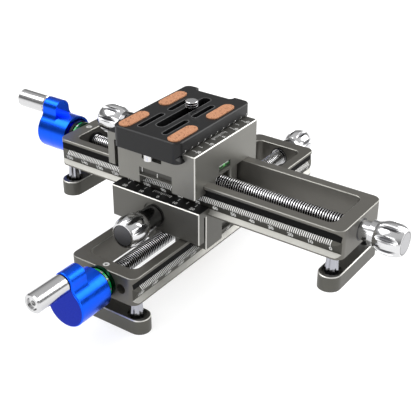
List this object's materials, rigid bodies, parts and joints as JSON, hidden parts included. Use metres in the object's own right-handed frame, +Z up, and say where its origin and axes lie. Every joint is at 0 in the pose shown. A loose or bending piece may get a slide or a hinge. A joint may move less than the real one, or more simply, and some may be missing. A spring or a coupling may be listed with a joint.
{
  "type": "macro focusing rail",
  "caption": "Two-axis macro focusing rail: two crossed dovetail rail units with lead screws and blue cranks, feet, and a quick-release plate.",
  "frame": {"origin": "centre of the lower rail's bottom face, midway along its dovetail", "axes": "+Z up; +Y along the lower rail from its crank to its end knob; +X along the upper rail from its crank to its end knob"},
  "size_m": [0.2245, 0.2245, 0.0856],
  "materials": {
    "anodised": "bead-blasted, anodised titanium grey, bright chamfers",
    "anodised_light": "bead-blasted, anodised titanium grey",
    "blue_anodised": "anodised blue, satin",
    "black_anodised": "anodised black, satin",
    "silver": "turned and polished",
    "chrome": "polished",
    "steel": "bright stainless steel",
    "black_steel": "black oxide",
    "brass": "machined",
    "black_plastic": "bearing plastic",
    "green_plastic": "nylon ball cage",
    "green_vial": "clear tube with green liquid",
    "cork": "cork and rubber blend"
  },
  "bodies": {
    "lower_frame": {"lower_rail_frame": "anodised", "lower_end_bush": "black_plastic", "lower_set_screw": "steel", "lower_race_fixed": "steel", "lower_foot_bars": "anodised", "lower_foot_posts": "chrome", "lower_foot_screws": "steel"},
    "lower_bearing": {"lower_bearing_cage": "green_plastic", "lower_bearing_balls": "steel"},
    "lower_screw": {"lower_lead_screw": "steel", "lower_screw_collar": "black_steel", "lower_race_turning": "steel", "lower_crank_hub": "blue_anodised", "lower_hub_set_screw": "black_steel", "lower_handle_screw": "steel", "lower_end_knob": "silver"},
    "lower_handle": {"lower_crank_handle": "silver"},
    "lower_carriage": {"lower_carriage_body": "anodised_light", "lower_drive_nut": "brass", "lower_nut_screws": "black_steel", "lower_bubble_vial": "green_vial", "lower_guide_pins": "steel"},
    "lower_jaw": {"lower_moving_jaw": "anodised_light"},
    "lower_knob": {"lower_clamp_knob": "silver", "lower_clamp_bolt": "steel", "lower_retaining_ring": "black_steel"},
    "upper_frame": {"upper_rail_frame": "anodised", "upper_end_bush": "black_plastic", "upper_set_screw": "steel", "upper_race_fixed": "steel", "upper_foot_bars": "anodised", "upper_foot_posts": "chrome", "upper_foot_screws": "steel"},
    "upper_bearing": {"upper_bearing_cage": "green_plastic", "upper_bearing_balls": "steel"},
    "upper_screw": {"upper_lead_screw": "steel", "upper_screw_collar": "black_steel", "upper_race_turning": "steel", "upper_crank_hub": "blue_anodised", "upper_hub_set_screw": "black_steel", "upper_handle_screw": "steel", "upper_end_knob": "silver"},
    "upper_handle": {"upper_crank_handle": "silver"},
    "upper_carriage": {"upper_carriage_body": "anodised_light", "upper_drive_nut": "brass", "upper_nut_screws": "black_steel", "upper_bubble_vial": "green_vial", "upper_guide_pins": "steel"},
    "upper_jaw": {"upper_moving_jaw": "anodised_light"},
    "upper_knob": {"upper_clamp_knob": "silver", "upper_clamp_bolt": "steel", "upper_retaining_ring": "black_steel"},
    "plate": {"qr_plate": "black_anodised", "cork_pads": "cork", "stop_screws": "steel"},
    "camera_slider": {"camera_washer": "black_steel"},
    "camera_screw": {"camera_screw": "steel"}
  },
  "joints": [
    {"name": "lower_crank_turn", "type": "hinge", "parent": "lower_frame", "child": "lower_screw", "pos_m": [0, 0, 0.0072], "axis": [0, 1, 0], "range_deg": [-18548.2, 5213.8]},
    {"name": "lower_carriage_slide", "type": "slide", "parent": "lower_frame", "child": "lower_carriage", "axis": [0, 1, 0], "range_m": [-0.0181, 0.0644]},
    {"name": "lower_bearing_turn", "type": "hinge", "parent": "lower_frame", "child": "lower_bearing", "pos_m": [0, -0.083, 0.0072], "axis": [0, 1, 0], "range_deg": [-9276.1, 2608.9]},
    {"name": "lower_handle_spin", "type": "hinge", "parent": "lower_screw", "child": "lower_handle", "pos_m": [0, -0.114, 0.0195], "axis": [0, 1, 0], "continuous": true},
    {"name": "lower_jaw_slide", "type": "slide", "parent": "lower_carriage", "child": "lower_jaw", "axis": [0, -1, 0], "range_m": [0, 0.0025]},
    {"name": "lower_clamp_turn", "type": "hinge", "parent": "lower_jaw", "child": "lower_knob", "pos_m": [0, -0.0479, 0.0232], "axis": [0, -1, 0], "range_deg": [0, 1126]},
    {"name": "upper_crank_turn", "type": "hinge", "parent": "upper_frame", "child": "upper_screw", "pos_m": [0.0141, -0.0149, 0.0352], "axis": [1, 0, 0], "range_deg": [-18548.2, 5213.8]},
    {"name": "upper_carriage_slide", "type": "slide", "parent": "upper_frame", "child": "upper_carriage", "axis": [1, 0, 0], "range_m": [-0.0181, 0.0644]},
    {"name": "upper_bearing_turn", "type": "hinge", "parent": "upper_frame", "child": "upper_bearing", "pos_m": [-0.0689, -0.0149, 0.0352], "axis": [1, 0, 0], "range_deg": [-9276.1, 2608.9]},
    {"name": "upper_handle_spin", "type": "hinge", "parent": "upper_screw", "child": "upper_handle", "pos_m": [-0.0999, -0.0149, 0.0475], "axis": [1, 0, 0], "continuous": true},
    {"name": "upper_jaw_slide", "type": "slide", "parent": "upper_carriage", "child": "upper_jaw", "axis": [-1, 0, 0], "range_m": [0, 0.0025]},
    {"name": "upper_clamp_turn", "type": "hinge", "parent": "upper_jaw", "child": "upper_knob", "pos_m": [-0.0342, -0.0149, 0.0512], "axis": [-1, 0, 0], "range_deg": [0, 1126]},
    {"name": "upper_rail_slide", "type": "slide", "parent": "lower_carriage", "child": "upper_frame", "axis": [1, 0, 0], "range_m": [-0.04, 0.0285]},
    {"name": "plate_slide", "type": "slide", "parent": "upper_carriage", "child": "plate", "axis": [0, 1, 0], "range_m": [-0.0054, 0.0078]},
    {"name": "camera_screw_slide", "type": "slide", "parent": "plate", "child": "camera_slider", "axis": [0, 1, 0], "range_m": [-0.023, 0.0112]},
    {"name": "camera_screw_turn", "type": "hinge", "parent": "camera_slider", "child": "camera_screw", "pos_m": [-0.0012, -0.0091, 0.038], "axis": [0, 0, 1], "continuous": true}
  ],
  "couplings": [
    {"joint": "lower_crank_turn", "follows": "lower_carriage_slide", "rad_per_m": -5026.5},
    {"joint": "lower_bearing_turn", "follows": "lower_carriage_slide", "rad_per_m": -2513.3},
    {"joint": "lower_clamp_turn", "follows": "lower_jaw_slide", "rad_per_m": 7854},
    {"joint": "upper_crank_turn", "follows": "upper_carriage_slide", "rad_per_m": -5026.5},
    {"joint": "upper_bearing_turn", "follows": "upper_carriage_slide", "rad_per_m": -2513.3},
    {"joint": "upper_clamp_turn", "follows": "upper_jaw_slide", "rad_per_m": 7854}
  ]
}
